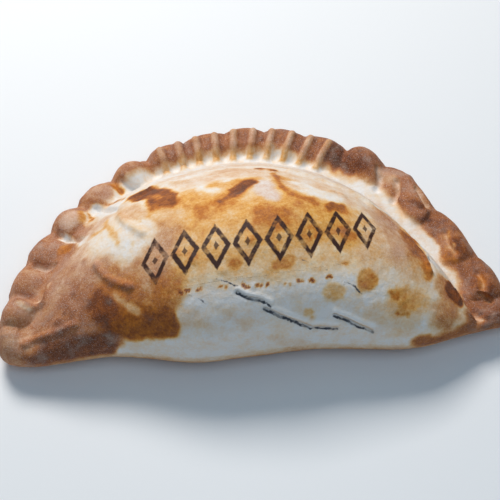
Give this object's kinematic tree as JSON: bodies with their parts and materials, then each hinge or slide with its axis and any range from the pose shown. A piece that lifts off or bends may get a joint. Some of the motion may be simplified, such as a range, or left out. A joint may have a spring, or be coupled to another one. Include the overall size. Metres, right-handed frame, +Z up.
{
  "type": "empanada",
  "caption": "Baked half-moon pastry parcel with a crimped curved edge, a smooth folded front and a flat underside.",
  "frame": {"origin": "middle of the bounding box at the tray, so the parcel stands on z = 0", "axes": "+X from the left tip to the right tip, +Y from the fold to the crimped edge, +Z up"},
  "size_m": [0.138, 0.0766, 0.0347],
  "materials": {
    "baked_crust": "matte baked dough, browned unevenly"
  },
  "bodies": {
    "root": {"empanada": "baked_crust"}
  },
  "joints": []
}
